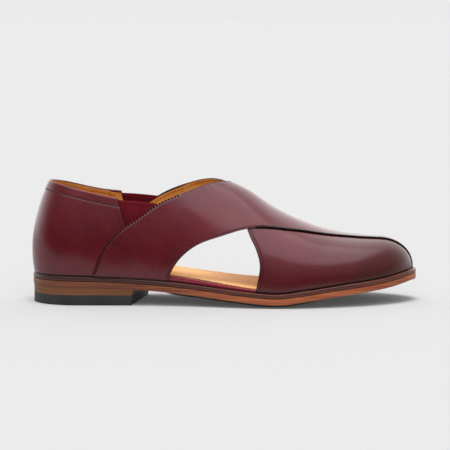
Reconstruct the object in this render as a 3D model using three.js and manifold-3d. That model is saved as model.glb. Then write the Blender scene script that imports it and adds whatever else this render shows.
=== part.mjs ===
// A peshawari chappal: a closed-toe leather slip-on for the right foot, with two broad straps that
// cross over the instep, half-moon cut-outs at both sides and elastic gussets at the collar.
// Millimetres, +X to the toe, +Y to the medial side, +Z up. The origin is on the floor, under the
// middle of the sole's box.

import * as THREE from 'three';
import Module from 'manifold-3d';

const wasm = await Module();
wasm.setup();

// The last, the form that the shoe is made over. Everything else is drawn on it.
const LAST_LENGTH = 292;      // heel point to toe point along the feather line
const BALL_WIDTH = 92;        // widest part of the feather line's outline
const INSTEP_HEIGHT = 78.6;   // ridge over the seat, half way along
const HEEL_RISE = 11.7;       // heel seat over the ball seat
const TOE_SPRING = 14.1;      // toe point over the ball seat

// The upper
const WALL = 1.8;             // leather and lining
const STRAP_LIFT = 1.3;       // how far a strap's face stands over the layer below it
const STRAP_SINK = 0.65;      // how far its back lies below that, glued into the layer
const UNDER_TRIM = 0.2;       // how much higher the under strap ends at the sole
const BAND_STEP = 0.5;        // folded band over the quarter's leather
const BAND_HEIGHT = 6.6;      // folded band at the collar
const ELASTIC = 0.8;          // gusset thickness

// The bottom
const WELT = 3.6;
const OUTSOLE = 4.4;          // side face of the outsole
const BELLY = 2.7;            // how far the outsole's middle hangs below its side face
const BELLY_INSET = 12;       // slope from the side face to the middle
const FLAT_PRESS = 0.35;      // wear that makes the flat spot under the ball
const EDGE_HEEL = 0.9;        // welt beyond the upper at the heel
const EDGE_TOE = 3.3;         // welt beyond the upper at the forefoot
const TOP_PIECE = 7.7;        // rubber piece under the heel
const LOWER_LIFT = 3.2;       // flat leather lift over it
const HEEL_TAPER = 0.6;       // heel stack inside the outsole's outline
const BREAST = 74.8;          // heel point to the heel's front at the lateral side
const BREAST_SLANT = 11;      // how much further forward it ends at the medial side
const BREAST_RAKE = 1.6;      // how much further forward it stands at its top

// The footbed
const BOARD_HEEL = 4.7;       // wrapped board at the heel
const BOARD_BALL = 1.6;       // wrapped board at the ball
const SOCK = 1.5;             // tan sock leather on the board
const BOARD_INSET = 0.5;      // board's edge inside the upper
const SOCK_INSET = 1.6;       // sock's edge inside the board's

const GAP = 0.3;              // clearance between pieces that rest on each other

const SEAT_BASE = BELLY + OUTSOLE + WELT;

// A table has one row for each station and one name for each column. A column over another one
// becomes a smooth curve through its rows, straight at both ends.
function smooth(table, from, to) {
  const xs = table.rows.map((row) => row[table.columns.indexOf(from)]);
  const ys = table.rows.map((row) => row[table.columns.indexOf(to)]);
  const last = xs.length - 1;
  const step = (i) => xs[i + 1] - xs[i];
  const slope = (i) => (ys[i + 1] - ys[i]) / step(i);
  const bend = new Array(xs.length).fill(0);
  const pivot = [];
  const load = [];
  for (let i = 1; i < last; i++) {
    const previous = i > 1 ? step(i - 1) / pivot[i - 1] : 0;
    pivot[i] = 2 * (step(i - 1) + step(i)) - previous * step(i - 1);
    load[i] = 6 * (slope(i) - slope(i - 1)) - previous * (load[i - 1] ?? 0);
  }
  for (let i = last - 1; i > 0; i--) bend[i] = (load[i] - step(i) * bend[i + 1]) / pivot[i];
  return (x) => {
    const at = Math.min(Math.max(x, xs[0]), xs[last]);
    let i = 0;
    while (i < last - 1 && at > xs[i + 1]) i++;
    const a = (xs[i + 1] - at) / step(i);
    const b = 1 - a;
    const cubic = (a ** 3 - a) * bend[i] + (b ** 3 - b) * bend[i + 1];
    return a * ys[i] + b * ys[i + 1] + cubic * step(i) ** 2 / 6;
  };
}

const clamp = (x, low, high) => Math.min(Math.max(x, low), high);
const mix = (a, b, share) => a + (b - a) * share;

// Rises softly from 0 to 1 over a span
function ease(x, [low, high]) {
  const share = clamp((x - low) / (high - low), 0, 1);
  return share * share * (3 - 2 * share);
}

// The feather line is the edge where the last meets the sole. Widths are shares of the ball width
// from the shoe's axis, before the round ends are cut.
const FEATHER = {
  columns: ['along', 'lateral', 'medial'],
  rows: [
    [0.00, 0.304, 0.304],
    [0.08, 0.326, 0.324],
    [0.16, 0.333, 0.322],
    [0.27, 0.333, 0.298],
    [0.38, 0.361, 0.287],
    [0.50, 0.440, 0.339],
    [0.61, 0.507, 0.430],
    [0.71, 0.498, 0.474],
    [0.81, 0.432, 0.446],
    [0.91, 0.338, 0.370],
    [1.00, 0.262, 0.290],
  ],
};
const HEEL_ROUND = { reach: 0.118, power: 2.25 };
const TOE_ROUND = { reach: 0.16, power: 2.1 };
const RIDGE_ROUND = { reach: 0.085, power: 2.3 };

// Heights of the seat over the ball seat: a share of the heel's rise and one of the toe's spring.
const SEAT = {
  columns: ['along', 'heel', 'toe'],
  rows: [
    [0.0, 1.000, 0.000],
    [0.1, 0.976, 0.000],
    [0.2, 0.889, 0.000],
    [0.3, 0.762, 0.000],
    [0.4, 0.556, 0.000],
    [0.5, 0.286, 0.000],
    [0.6, 0.040, 0.000],
    [0.65, 0.000, 0.006],
    [0.7, 0.000, 0.130],
    [0.75, 0.000, 0.262],
    [0.8, 0.000, 0.402],
    [0.85, 0.000, 0.513],
    [0.9, 0.000, 0.625],
    [0.95, 0.000, 0.778],
    [1.0, 0.000, 1.000],
  ],
};

// The ridge over the seat is a share of the instep height. Behind the instep it is the closed top
// that the last would have, and the collar is cut below it.
const RIDGE = {
  columns: ['along', 'height'],
  rows: [
    [0.00, 1.315],
    [0.13, 1.275],
    [0.22, 1.241],
    [0.35, 1.149],
    [0.50, 0.992],
    [0.56, 0.912],
    [0.62, 0.782],
    [0.70, 0.609],
    [0.78, 0.465],
    [0.86, 0.383],
    [0.94, 0.323],
    [1.00, 0.272],
  ],
};

// Sideways places of the axis and of the ridge, as shares of the ball width.
const SWING = {
  columns: ['along', 'axis', 'ridge'],
  rows: [
    [0.0, 0.000, 0.000],
    [0.3, 0.000, 0.022],
    [0.5, 0.000, 0.043],
    [0.7, 0.004, 0.043],
    [0.9, 0.024, 0.046],
    [1.0, 0.043, 0.043],
  ],
};

// Each half section is one curve from the feather line, up the wall and over to the ridge. The wall
// is how high the side stays steep, the shoulder how flat it comes over the top, and the bulge how
// far the side stands out past the feather line.
const SECTION = {
  columns: ['along', 'wall', 'shoulder', 'bulge'],
  rows: [
    [0.00, 0.443, 0.396, 0.248],
    [0.08, 0.442, 0.420, 0.210],
    [0.18, 0.440, 0.500, 0.140],
    [0.30, 0.440, 0.550, 0.080],
    [0.50, 0.500, 0.520, 0.030],
    [0.75, 0.580, 0.600, 0.020],
    [1.00, 0.600, 0.600, 0.000],
  ],
};
const HEEL_CENTRE = 0.125;    // share of the length where the heel's sections meet
const HEEL_BLEND = 0.04;

const lateralWidth = smooth(FEATHER, 'along', 'lateral');
const medialWidth = smooth(FEATHER, 'along', 'medial');
const heelSeat = smooth(SEAT, 'along', 'heel');
const toeSeat = smooth(SEAT, 'along', 'toe');
const ridgeHeight = smooth(RIDGE, 'along', 'height');
const axisSwing = smooth(SWING, 'along', 'axis');
const ridgeSwing = smooth(SWING, 'along', 'ridge');
const wallShare = smooth(SECTION, 'along', 'wall');
const shoulderShare = smooth(SECTION, 'along', 'shoulder');
const bulgeShare = smooth(SECTION, 'along', 'bulge');

const roundEnd = (rest, round) => (1 - clamp(rest, 0, 1) ** round.power) ** (1 / round.power);
const seatAt = (along) => SEAT_BASE + HEEL_RISE * heelSeat(along) + TOE_SPRING * toeSeat(along);
const seatUnder = (x) => seatAt(clamp(x / LAST_LENGTH, 0, 1));

function featherPoint(along, side) {
  const heel = roundEnd(1 - along / HEEL_ROUND.reach, HEEL_ROUND);
  const toe = roundEnd((along - 1) / TOE_ROUND.reach + 1, TOE_ROUND);
  const width = side < 0 ? -lateralWidth(along) : medialWidth(along);
  const y = (axisSwing(along) + width * heel * toe) * BALL_WIDTH;
  return new THREE.Vector3(LAST_LENGTH * along, y, seatAt(along));
}

function ridgePoint(along) {
  const past = along - HEEL_CENTRE;
  const soft = Math.hypot(past, HEEL_BLEND * Math.sqrt(clamp(1 - along, 0, 1)));
  const at = Math.min(HEEL_CENTRE + (past + soft) / 2, 1);
  const nose = roundEnd((at - 1) / RIDGE_ROUND.reach + 1, RIDGE_ROUND);
  const z = seatAt(at) + INSTEP_HEIGHT * ridgeHeight(at) * nose;
  return new THREE.Vector3(LAST_LENGTH * at, ridgeSwing(at) * BALL_WIDTH, z);
}

// A place on the last is a turn and an across. The turn is 0 at the back of the heel and 1 at the
// toe point, with stations close together at both ends, and a turn below 0 is on the medial side of
// the heel. Across is -1 at the lateral feather line, 0 at the ridge and 1 at the medial one.
const alongOf = (turn) => (1 - Math.cos(Math.PI * turn)) / 2;
const turnOf = (along) => Math.acos(1 - 2 * clamp(along, 0, 1)) / Math.PI;

function lastPoint(turn, across) {
  const along = alongOf(clamp(Math.abs(turn), 0, 1));
  const side = turn < 0 ? -across : across;
  const foot = featherPoint(along, side);
  const top = ridgePoint(along);
  const a = 1 - Math.abs(side);
  const b = 1 - a;
  const start = b ** 3;
  const low = 3 * a * b * b;
  const high = 3 * a * a * b;
  const inward = start + low * (1 + bulgeShare(along)) + high * shoulderShare(along);
  const upward = low * wallShare(along) + high + a ** 3;
  return new THREE.Vector3(
    mix(top.x, foot.x, inward),
    mix(top.y, foot.y, inward),
    mix(foot.z, top.z, upward),
  );
}

const NUDGE = 1e-4;
function lastNormal(turn, across) {
  if (turn > 1 - NUDGE) return new THREE.Vector3(1, 0, 0);
  const side = clamp(across, NUDGE - 1, 1 - NUDGE);
  const forward = lastPoint(turn + NUDGE, side).sub(lastPoint(turn - NUDGE, side));
  const over = lastPoint(turn, side + NUDGE).sub(lastPoint(turn, side - NUDGE));
  return forward.cross(over).normalize();
}

// A point over the last at a height, never lower than a clearance over the seat
function overLast(turn, across, height, clearance = GAP) {
  const point = lastPoint(turn, across).addScaledVector(lastNormal(turn, across), height);
  point.z = Math.max(point.z, seatUnder(point.x) + clearance);
  return point;
}

// Closed meshes. Points closer than the weld are one point, and a triangle that loses a corner this
// way is left out.
const WELD = 1e-3;
const SHORT_EDGE = 0.02;
function closedMesh() {
  const points = [];
  const faces = [];
  const known = new Map();
  const index = (point) => {
    const key = point.toArray().map((value) => Math.round(value / WELD)).join();
    if (!known.has(key)) {
      known.set(key, points.length);
      points.push(point);
    }
    return known.get(key);
  };
  const triangle = (a, b, c) => {
    const corners = [index(a), index(b), index(c)];
    if (new Set(corners).size === 3) faces.push(corners);
  };
  const quad = (a, b, c, d) => {
    triangle(a, b, c);
    triangle(a, c, d);
  };
  const solid = () => {
    const vertProperties = new Float32Array(points.flatMap((point) => point.toArray()));
    const triVerts = new Uint32Array(faces.flat());
    return new wasm.Manifold(new wasm.Mesh({ numProp: 3, vertProperties, triVerts }));
  };
  return { quad, solid };
}

// A sheet lies between two grids of points, and a strip closes it all round.
function sheet(columns, rows, inner, outer) {
  const mesh = closedMesh();
  const grid = (place) => {
    const line = (i) => Array.from({ length: rows + 1 }, (_, j) => place(i / columns, j / rows));
    return Array.from({ length: columns + 1 }, (_, i) => line(i));
  };
  const below = grid(inner);
  const above = grid(outer);
  for (let i = 0; i < columns; i++) {
    for (let j = 0; j < rows; j++) {
      mesh.quad(above[i][j], above[i + 1][j], above[i + 1][j + 1], above[i][j + 1]);
      mesh.quad(below[i][j], below[i][j + 1], below[i + 1][j + 1], below[i + 1][j]);
    }
    mesh.quad(below[i][0], below[i + 1][0], above[i + 1][0], above[i][0]);
    mesh.quad(below[i + 1][rows], below[i][rows], above[i][rows], above[i + 1][rows]);
  }
  for (let j = 0; j < rows; j++) {
    mesh.quad(below[0][j + 1], below[0][j], above[0][j], above[0][j + 1]);
    mesh.quad(below[columns][j], below[columns][j + 1], above[columns][j + 1], above[columns][j]);
  }
  return mesh.solid();
}

// A strap runs from one side's heel quarter, over the instep, to the other side's toe. Each row is
// one line across it, from its rear edge to its front edge. Across counts from the side that the
// strap starts on: -1 is its own feather line and 1 the far one.
const STRAP_COLUMNS = ['way', 'rear_along', 'rear_across', 'front_along', 'front_across'];
const OVER_STRAP = {
  columns: STRAP_COLUMNS,
  rows: [
    [0.00, 0.153, -1.000, 0.355, -1.000],
    [0.05, 0.165, -0.920, 0.366, -0.925],
    [0.10, 0.185, -0.830, 0.390, -0.840],
    [0.16, 0.225, -0.728, 0.435, -0.742],
    [0.22, 0.275, -0.637, 0.485, -0.670],
    [0.28, 0.325, -0.533, 0.535, -0.592],
    [0.35, 0.380, -0.430, 0.590, -0.492],
    [0.42, 0.435, -0.300, 0.650, -0.385],
    [0.49, 0.487, -0.125, 0.715, -0.297],
    [0.55, 0.522, 0.040, 0.780, -0.205],
    [0.61, 0.547, 0.250, 0.845, -0.138],
    [0.67, 0.564, 0.440, 0.905, -0.115],
    [0.73, 0.580, 0.590, 0.960, -0.100],
    [0.78, 0.591, 0.660, 0.987, -0.080],
    [0.83, 0.599, 0.725, 1.000, 0.000],
    [0.91, 0.606, 0.830, 1.000, 0.400],
    [1.00, 0.598, 1.000, 1.000, 1.000],
  ],
};
const UNDER_STRAP = {
  columns: STRAP_COLUMNS,
  rows: [
    [0.00, 0.153, -1.000, 0.355, -1.000],
    [0.05, 0.165, -0.920, 0.364, -0.920],
    [0.10, 0.185, -0.830, 0.386, -0.825],
    [0.16, 0.223, -0.728, 0.432, -0.722],
    [0.22, 0.265, -0.635, 0.485, -0.645],
    [0.28, 0.313, -0.528, 0.537, -0.565],
    [0.35, 0.365, -0.415, 0.592, -0.475],
    [0.42, 0.418, -0.285, 0.650, -0.410],
    [0.49, 0.470, -0.112, 0.715, -0.370],
    [0.55, 0.508, 0.060, 0.780, -0.340],
    [0.61, 0.536, 0.270, 0.845, -0.320],
    [0.67, 0.551, 0.440, 0.905, -0.310],
    [0.73, 0.569, 0.593, 0.960, -0.280],
    [0.78, 0.580, 0.650, 0.987, -0.200],
    [0.83, 0.589, 0.715, 1.000, 0.000],
    [0.91, 0.595, 0.820, 1.000, 0.400],
    [1.00, 0.584, 1.000, 1.000, 1.000],
  ],
};
const STRAP_GRID = { columns: 46, rows: 15 };

// The over strap is lifted off the under strap and the quarter. It comes down where it is alone, at
// the medial side of the toe, and is skived thinner to the toe point. The under strap is lifted only
// where it lies on the quarter. The spans are shares of the across and of the along.
const OVER_ALONE = [0.56, 1];
const OVER_TIP = [0.88, 1];
const TIP_SKIVE = 0.3;
const UNDER_COMES_DOWN = [0.30, 0.42];
function overLift(along, across) {
  const tip = ease(along, OVER_TIP);
  const alone = ease(across, OVER_ALONE) * (1 - tip);
  return STRAP_LIFT * (1 - alone) * (1 - TIP_SKIVE * tip);
}

function underLift(along) {
  return STRAP_LIFT * (1 - ease(along, UNDER_COMES_DOWN));
}

function strap(table, side, lift, clearance) {
  const rearAlong = smooth(table, 'way', 'rear_along');
  const rearAcross = smooth(table, 'way', 'rear_across');
  const frontAlong = smooth(table, 'way', 'front_along');
  const frontAcross = smooth(table, 'way', 'front_across');
  // From its first row at the toe point on, the front edge stays there and the strap fans out.
  const [tipWay] = table.rows.find((row) => row[STRAP_COLUMNS.indexOf('front_along')] === 1);
  const face = (height, depth) => (way, over) => {
    const frontTurn = way < tipWay ? turnOf(frontAlong(way)) : 1;
    const turn = mix(turnOf(rearAlong(way)), frontTurn, over);
    const across = clamp(mix(rearAcross(way), frontAcross(way), over), -1, 1);
    return overLast(turn, side * across, lift(alongOf(turn), across) * depth + height, clearance);
  };
  // Seen from outside, the sheet's rows run the other way round on the other side.
  const flip = (place) => (side > 0 ? (way, over) => place(1 - way, over) : place);
  return sheet(STRAP_GRID.columns, STRAP_GRID.rows, flip(face(0, 1 - STRAP_SINK / STRAP_LIFT)),
    flip(face(WALL, 1)));
}

// The quarter wraps the heel, from under the over strap to under the under strap. The collar is
// its top edge: across at stations along, for each side.
const COLLAR = {
  columns: ['along', 'lateral', 'medial'],
  rows: [
    [0.000, 0.458, 0.458],
    [0.040, 0.471, 0.473],
    [0.110, 0.500, 0.502],
    [0.170, 0.523, 0.519],
    [0.225, 0.535, 0.518],
    [0.280, 0.540, 0.518],
  ],
};
const QUARTER_END = {
  columns: ['up', 'along'],
  rows: [
    [0.00, 0.285],
    [0.35, 0.268],
    [0.70, 0.240],
    [1.00, 0.222],
  ],
};
const QUARTER_GRID = { columns: 36, rows: 8 };
const BAND_SLOPE = 0.005;     // share of the quarter's height that the band's step takes

function quarter() {
  const lateral = smooth(COLLAR, 'along', 'lateral');
  const medial = smooth(COLLAR, 'along', 'medial');
  const end = smooth(QUARTER_END, 'up', 'along');
  const place = (round, up) => {
    const turn = mix(-1, 1, round) * turnOf(end(up));
    const collar = turn > 0 ? lateral : medial;
    return [turn, -mix(1, collar(alongOf(turn)), up)];
  };
  const height = (round) => lastPoint(...place(round, 1)).distanceTo(lastPoint(...place(round, 0)));
  // The rows are even up to the band, then two rows make its step and its face.
  const rise = (round, up) => {
    const bandFoot = 1 - BAND_HEIGHT / height(round);
    const even = QUARTER_GRID.rows - 2;
    const row = Math.round(up * QUARTER_GRID.rows);
    if (row <= even) return [bandFoot * row / even, 0];
    return row === even + 1 ? [bandFoot + BAND_SLOPE, BAND_STEP] : [1, BAND_STEP];
  };
  const face = (wall, step) => (round, up) => {
    const [share, band] = rise(round, up);
    return overLast(...place(round, share), wall + step * band);
  };
  return sheet(QUARTER_GRID.columns, QUARTER_GRID.rows, face(0, 0), face(WALL, 1));
}

// An elastic gusset fills the corner between the quarter and a strap, inside both. Its corners run
// round the piece from the rear top.
const GUSSET = {
  columns: ['along', 'lateral', 'medial'],
  rows: [
    [0.197, 0.546, 0.534],
    [0.355, 0.518, 0.496],
    [0.325, 0.650, 0.640],
    [0.212, 0.735, 0.735],
  ],
};
const GUSSET_GRID = { columns: 8, rows: 6 };

function gusset(side) {
  const column = GUSSET.columns.indexOf(side < 0 ? 'lateral' : 'medial');
  const [rearTop, frontTop, frontFoot, rearFoot] = GUSSET.rows.map((row) => (
    new THREE.Vector2(turnOf(row[0]), side * row[column])));
  const face = (height) => (forward, up) => {
    const foot = rearFoot.clone().lerp(frontFoot, forward);
    const place = foot.lerp(rearTop.clone().lerp(frontTop, forward), up);
    return overLast(place.x, place.y, height);
  };
  const flip = (at) => (side > 0 ? (forward, up) => at(1 - forward, up) : at);
  const { columns, rows } = GUSSET_GRID;
  return sheet(columns, rows, flip(face(-GAP - ELASTIC)), flip(face(-GAP)));
}

// The bottom pieces follow the feather line, moved outward in plan.
function outlinePoint(turn, side, outward) {
  const along = alongOf(clamp(turn, 0, 1));
  const at = featherPoint(along, side);
  const before = featherPoint(alongOf(Math.max(turn - NUDGE, 0)), side);
  const after = featherPoint(alongOf(Math.min(turn + NUDGE, 1)), side);
  const normal = new THREE.Vector2(after.y - before.y, before.x - after.x).normalize();
  if (side > 0) normal.negate();
  if (turn <= 0) normal.set(-1, 0);
  if (turn >= 1) normal.set(1, 0);
  return new THREE.Vector3(at.x + normal.x * outward, at.y + normal.y * outward, 0);
}

const EDGE_WIDENS = [0.15, 0.55];
const edgeBeyond = (turn) => WALL + mix(EDGE_HEEL, EDGE_TOE, ease(alongOf(turn), EDGE_WIDENS));

// A plate is a stack of rings from its top to its bottom. Each ring has an outward distance and a
// height over x. Its top and bottom are strips from side to side.
const PLATE_STEPS = 40;
function plate(rings, endTurn = () => 1) {
  const mesh = closedMesh();
  const ringPoints = rings.map((ring) => {
    const line = (side) => Array.from({ length: PLATE_STEPS + 1 }, (_, i) => {
      const turn = endTurn(side, ring) * i / PLATE_STEPS;
      const point = outlinePoint(turn, side, ring.outward(turn));
      point.z = ring.height(point.x);
      return point;
    });
    return { lateral: line(-1), medial: line(1) };
  });
  const top = ringPoints[0];
  const bottom = ringPoints[ringPoints.length - 1];
  for (let i = 0; i < PLATE_STEPS; i++) {
    mesh.quad(top.lateral[i], top.lateral[i + 1], top.medial[i + 1], top.medial[i]);
    mesh.quad(bottom.medial[i], bottom.medial[i + 1], bottom.lateral[i + 1], bottom.lateral[i]);
    for (let k = 0; k + 1 < ringPoints.length; k++) {
      const high = ringPoints[k];
      const low = ringPoints[k + 1];
      mesh.quad(low.lateral[i], low.lateral[i + 1], high.lateral[i + 1], high.lateral[i]);
      mesh.quad(low.medial[i + 1], low.medial[i], high.medial[i], high.medial[i + 1]);
    }
  }
  for (let k = 0; k + 1 < ringPoints.length; k++) {
    const high = ringPoints[k];
    const low = ringPoints[k + 1];
    const n = PLATE_STEPS;
    mesh.quad(low.lateral[n], low.medial[n], high.medial[n], high.lateral[n]);
  }
  return mesh.solid();
}

const weltFace = (x) => seatUnder(x);
const weltFoot = (x) => seatUnder(x) - WELT + GAP;
const outsoleFace = (x) => seatUnder(x) - WELT;
const outsoleEdgeFoot = (x) => seatUnder(x) - WELT - OUTSOLE;
const BELLY_STARTS = [0.30, 0.385];
const BELLY_ENDS = [0.70, 0.86];
function bellyDrop(x) {
  const along = x / LAST_LENGTH;
  return (BELLY + FLAT_PRESS) * ease(along, BELLY_STARTS) * (1 - ease(along, BELLY_ENDS));
}
const outsoleFoot = (x) => Math.max(outsoleEdgeFoot(x) - bellyDrop(x), 0);

const welt = () => plate([
  { outward: edgeBeyond, height: weltFace },
  { outward: edgeBeyond, height: weltFoot },
]);

const outsole = () => plate([
  { outward: edgeBeyond, height: outsoleFace },
  { outward: edgeBeyond, height: outsoleEdgeFoot },
  { outward: (turn) => edgeBeyond(turn) - BELLY_INSET, height: outsoleFoot },
]);

// Heel pieces end at the breast, which is slanted in plan and raked from top to bottom.
const HEEL_TOP = SEAT_BASE + HEEL_RISE - WELT - OUTSOLE;
function heelPiece(face, foot) {
  const outward = (turn) => edgeBeyond(turn) - HEEL_TAPER;
  const breastTurn = (side, ring) => {
    const rake = BREAST_RAKE * ring.height(BREAST) / HEEL_TOP;
    const slant = side > 0 ? BREAST_SLANT : 0;
    return turnOf((BREAST + slant + rake) / LAST_LENGTH);
  };
  return plate([{ outward, height: face }, { outward, height: foot }], breastTurn);
}

const upperLift = () => heelPiece((x) => outsoleEdgeFoot(x) - GAP, () => TOP_PIECE + LOWER_LIFT + GAP);
const lowerLift = () => heelPiece(() => TOP_PIECE + LOWER_LIFT, () => TOP_PIECE + GAP);
const topPiece = () => heelPiece(() => TOP_PIECE, () => 0);

// The footbed lies inside the upper, thick at the heel and thin at the ball.
const boardFoot = (x) => seatUnder(x) + GAP;
const BOARD_THINS = [0.30, 0.62];
function boardFace(x) {
  const thin = ease(x / LAST_LENGTH, BOARD_THINS);
  return boardFoot(x) + mix(BOARD_HEEL, BOARD_BALL, thin);
}
const board = () => plate([
  { outward: () => -BOARD_INSET, height: boardFace },
  { outward: () => -BOARD_INSET, height: boardFoot },
]);
const sock = () => plate([
  { outward: () => -BOARD_INSET - SOCK_INSET, height: (x) => boardFace(x) + GAP + SOCK },
  { outward: () => -BOARD_INSET - SOCK_INSET, height: (x) => boardFace(x) + GAP },
]);

function upper() {
  const over = strap(OVER_STRAP, 1, overLift, GAP);
  const under = strap(UNDER_STRAP, -1, underLift, GAP + UNDER_TRIM);
  return quarter().add(under).add(over);
}

// Colours and gloss of the materials
const WINE_LEATHER = { color: 0x5a1f26, roughness: 0.35 };
const WINE_ELASTIC = { color: 0x5c1622, roughness: 0.9 };
const TAN_LEATHER = { color: 0xc98f4e, roughness: 0.6 };
const DARK_WELT = { color: 0x4a2a20, roughness: 0.5 };
const TAN_SOLE = { color: 0x8a4a24, roughness: 0.45 };
const STACK = { color: 0x5f3520, roughness: 0.5 };
const RUBBER = { color: 0x1d1b1b, roughness: 0.8 };

const shoe = new THREE.Group();

// A join can leave corners that nearly touch. Each edge shorter than the weld is drawn together, and
// the triangles that it closes go.
function withoutShortEdges({ vertProperties, triVerts }) {
  const point = (i) => new THREE.Vector3().fromArray(vertProperties, 3 * i);
  const kept = Uint32Array.from({ length: vertProperties.length / 3 }, (_, i) => i);
  const keeper = (i) => (kept[i] === i ? i : keeper(kept[i]));
  const joinIfShort = (a, b) => {
    if (point(a).distanceTo(point(b)) < SHORT_EDGE) kept[keeper(b)] = keeper(a);
  };
  for (let i = 0; i < triVerts.length; i += 3) {
    const [a, b, c] = triVerts.subarray(i, i + 3);
    joinIfShort(a, b);
    joinIfShort(b, c);
  }
  const index = [];
  for (let i = 0; i < triVerts.length; i += 3) {
    const corners = Array.from(triVerts.subarray(i, i + 3), keeper);
    if (new Set(corners).size === 3) index.push(...corners);
  }
  return index;
}

function addPiece(name, solid, look) {
  const result = solid.getMesh();
  const geometry = new THREE.BufferGeometry();
  geometry.setAttribute('position', new THREE.BufferAttribute(result.vertProperties, 3));
  geometry.setIndex(withoutShortEdges(result));
  geometry.computeVertexNormals();
  const mesh = new THREE.Mesh(geometry, new THREE.MeshStandardMaterial({ metalness: 0, ...look }));
  mesh.name = name;
  shoe.add(mesh);
}

addPiece('upper', upper(), WINE_LEATHER);
addPiece('elastic_lateral', gusset(-1), WINE_ELASTIC);
addPiece('elastic_medial', gusset(1), WINE_ELASTIC);
addPiece('insole_board', board(), WINE_LEATHER);
addPiece('insole_sock', sock(), TAN_LEATHER);
addPiece('welt', welt(), DARK_WELT);
addPiece('outsole', outsole(), TAN_SOLE);
addPiece('heel_lift_upper', upperLift(), STACK);
addPiece('heel_lift_lower', lowerLift(), STACK);
addPiece('heel_top_piece', topPiece(), RUBBER);

// The box of the whole shoe is centred over the origin.
const box = new THREE.Box3().setFromObject(shoe);
shoe.position.set(-(box.min.x + box.max.x) / 2, -(box.min.y + box.max.y) / 2, -box.min.z);

export default shoe;
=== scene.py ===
# %% [markdown]
# # A peshawari chappal, dressed over its imported solids
# The shoe is a closed-toe leather slip-on for the right foot. Two broad straps cross over the instep,
# a quarter wraps the heel, and elastic gussets join them. The imported solids give every place and
# size. This lesson lays finer pieces over them and gives each one the finish that the real shoe has.
#
# The first cell loads the solids.

import math

import bpy
import numpy as np
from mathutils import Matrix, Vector


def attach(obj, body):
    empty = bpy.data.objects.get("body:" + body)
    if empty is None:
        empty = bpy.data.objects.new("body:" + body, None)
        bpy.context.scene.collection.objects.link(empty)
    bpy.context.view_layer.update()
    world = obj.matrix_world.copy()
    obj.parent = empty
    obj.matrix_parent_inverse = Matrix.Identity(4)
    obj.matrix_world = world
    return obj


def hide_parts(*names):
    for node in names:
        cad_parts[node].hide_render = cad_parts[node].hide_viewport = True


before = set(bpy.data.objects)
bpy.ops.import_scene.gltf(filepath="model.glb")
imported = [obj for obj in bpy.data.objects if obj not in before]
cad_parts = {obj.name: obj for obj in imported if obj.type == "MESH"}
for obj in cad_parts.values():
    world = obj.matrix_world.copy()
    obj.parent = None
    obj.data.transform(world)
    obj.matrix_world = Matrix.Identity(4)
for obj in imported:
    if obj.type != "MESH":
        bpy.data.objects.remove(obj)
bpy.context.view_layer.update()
print("solids:", ", ".join(sorted(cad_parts)))

# %% [markdown]
# ## The last
# A shoe is made over a last, a form of the foot. Modelling each panel by hand on a curved body is
# slow and the panels would not lie on each other. It is better to describe the last once, by a few
# smooth curves along its length, and to lay every panel on it. The curves below repeat those of the
# solids, in millimetres, with the back of the heel at zero.

# %% Smooth curves through a few stations
MM = 0.001
TO_FRAME = np.array([-146.902, 1.38, 0.0])


def smooth(xs, ys):
    """A smooth curve through stations, straight at both ends"""
    xs, ys = np.array(xs, float), np.array(ys, float)
    step = np.diff(xs)
    count = len(xs)
    system = np.eye(count)
    load = np.zeros(count)
    for i in range(1, count - 1):
        system[i, i - 1:i + 2] = step[i - 1], 2 * (step[i - 1] + step[i]), step[i]
        load[i] = 6 * ((ys[i + 1] - ys[i]) / step[i] - (ys[i] - ys[i - 1]) / step[i - 1])
    bend = np.linalg.solve(system, load)

    def value(x):
        at = np.clip(x, xs[0], xs[-1])
        i = np.clip(np.searchsorted(xs, at, side="right") - 1, 0, count - 2)
        a = (xs[i + 1] - at) / step[i]
        b = 1 - a
        cubic = (a ** 3 - a) * bend[i] + (b ** 3 - b) * bend[i + 1]
        return a * ys[i] + b * ys[i + 1] + cubic * step[i] ** 2 / 6

    return value


def curves(table):
    """A smooth curve for each column of a table over its first column"""
    columns = list(zip(*table))
    return [smooth(columns[0], column) for column in columns[1:]]


def run_along(points):
    """The length of a line of points up to each of them"""
    return np.concatenate([[0], np.cumsum(np.linalg.norm(np.diff(points, axis=0), axis=1))])


def mix(a, b, share):
    return a + (b - a) * share


def ease(x, low, high):
    """Rises softly from 0 to 1 over a span"""
    share = np.clip((x - low) / (high - low), 0, 1)
    return share * share * (3 - 2 * share)


def bump(x, centre, width):
    """A soft hump of height 1"""
    return np.exp(-((x - centre) / width) ** 2)


print("a curve passes through its stations:", float(smooth([0, 1, 2], [1, 3, 2])(1.0)))

# %% The last's measures and curves
LAST_LENGTH = 292
BALL_WIDTH = 92
INSTEP_HEIGHT = 78.6
HEEL_RISE = 11.7
TOE_SPRING = 14.1
SEAT_BASE = 10.7

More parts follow.
